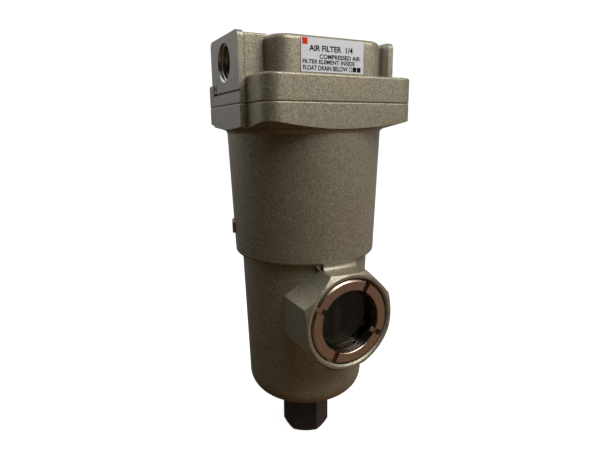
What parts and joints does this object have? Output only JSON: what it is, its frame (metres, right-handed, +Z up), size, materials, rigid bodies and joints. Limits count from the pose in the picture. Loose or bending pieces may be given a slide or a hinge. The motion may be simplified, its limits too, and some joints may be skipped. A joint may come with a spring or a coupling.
{
  "type": "compressed air filter",
  "caption": "In-line compressed-air filter: square ported head, stepped round metal bowl with a slotted-ring sight glass, and a float drain with a hexagonal outlet.",
  "frame": {"origin": "centre of the drain outlet's mouth, the lowest point on the bowl's axis", "axes": "+Z up the bowl's axis, +X out of the outlet port, -Y out of the sight glass and the label"},
  "size_m": [0.063, 0.066, 0.1597],
  "materials": {
    "body_paint": "metallic champagne paint over die-cast aluminium, fine orange peel",
    "ring_nickel": "satin nickel plate, turned",
    "sight_glass": "clear, with the dark bowl behind it",
    "label_film": "silver-white printed film",
    "seal_rubber": "moulded nitrile rubber",
    "washer_fibre": "smooth flat washer",
    "screw_steel": "zinc-plated steel",
    "spring_steel": "bright drawn stainless steel",
    "core_steel": "perforated stainless sheet",
    "cap_resin": "moulded nylon",
    "drain_resin": "moulded acetal",
    "float_foam": "closed-cell nylon foam",
    "filter_media": "glass-fibre and polyester felt",
    "sock_foam": "open-cell foam sleeve",
    "drain_black": "black coated, semi-matte",
    "valve_brass": "turned"
  },
  "bodies": {
    "housing": {"filter_head": "body_paint", "bowl": "body_paint", "bowl_seal": "seal_rubber", "screw_washers": "screw_steel", "bowl_screws": "screw_steel", "name_label": "label_film", "sight_glass_seal": "seal_rubber", "sight_glass": "sight_glass", "sight_glass_washer": "washer_fibre", "sight_glass_ring": "ring_nickel", "element_top_cap": "cap_resin", "element_seal": "seal_rubber", "element_bottom_cap": "cap_resin", "element_inner_core": "core_steel", "prefilter_layer": "filter_media", "coalescing_layer": "filter_media", "element_outer_core": "core_steel", "drain_sock": "sock_foam", "drain_guide": "drain_black", "drain_housing": "drain_resin", "drain_housing_seal": "seal_rubber", "pilot_nozzle": "valve_brass", "piston_spring": "spring_steel", "float_guard": "drain_resin", "lever_bracket": "spring_steel", "lever_pin": "spring_steel"},
    "float": {"float": "float_foam"},
    "lever": {"float_lever": "drain_resin", "pilot_pad": "seal_rubber"},
    "piston": {"drain_piston": "drain_resin", "piston_seal": "seal_rubber", "drain_poppet": "valve_brass", "poppet_seal": "seal_rubber"}
  },
  "joints": [
    {"name": "float_slide", "type": "slide", "parent": "housing", "child": "float", "axis": [0, 0, 1], "range_m": [0, 0.004]},
    {"name": "lever_pivot", "type": "hinge", "parent": "housing", "child": "lever", "pos_m": [-0.008, 0, 0.068], "axis": [0, -1, 0], "range_deg": [0, 13.6]},
    {"name": "piston_slide", "type": "slide", "parent": "housing", "child": "piston", "axis": [0, 0, -1], "range_m": [0, 0.0025], "stiffness_N_per_m": 400, "springref_m": -0.003, "deforming": ["piston_spring"]}
  ],
  "couplings": [
    {"joint": "lever_pivot", "follows": "float_slide", "rad_per_m": 58.824}
  ]
}
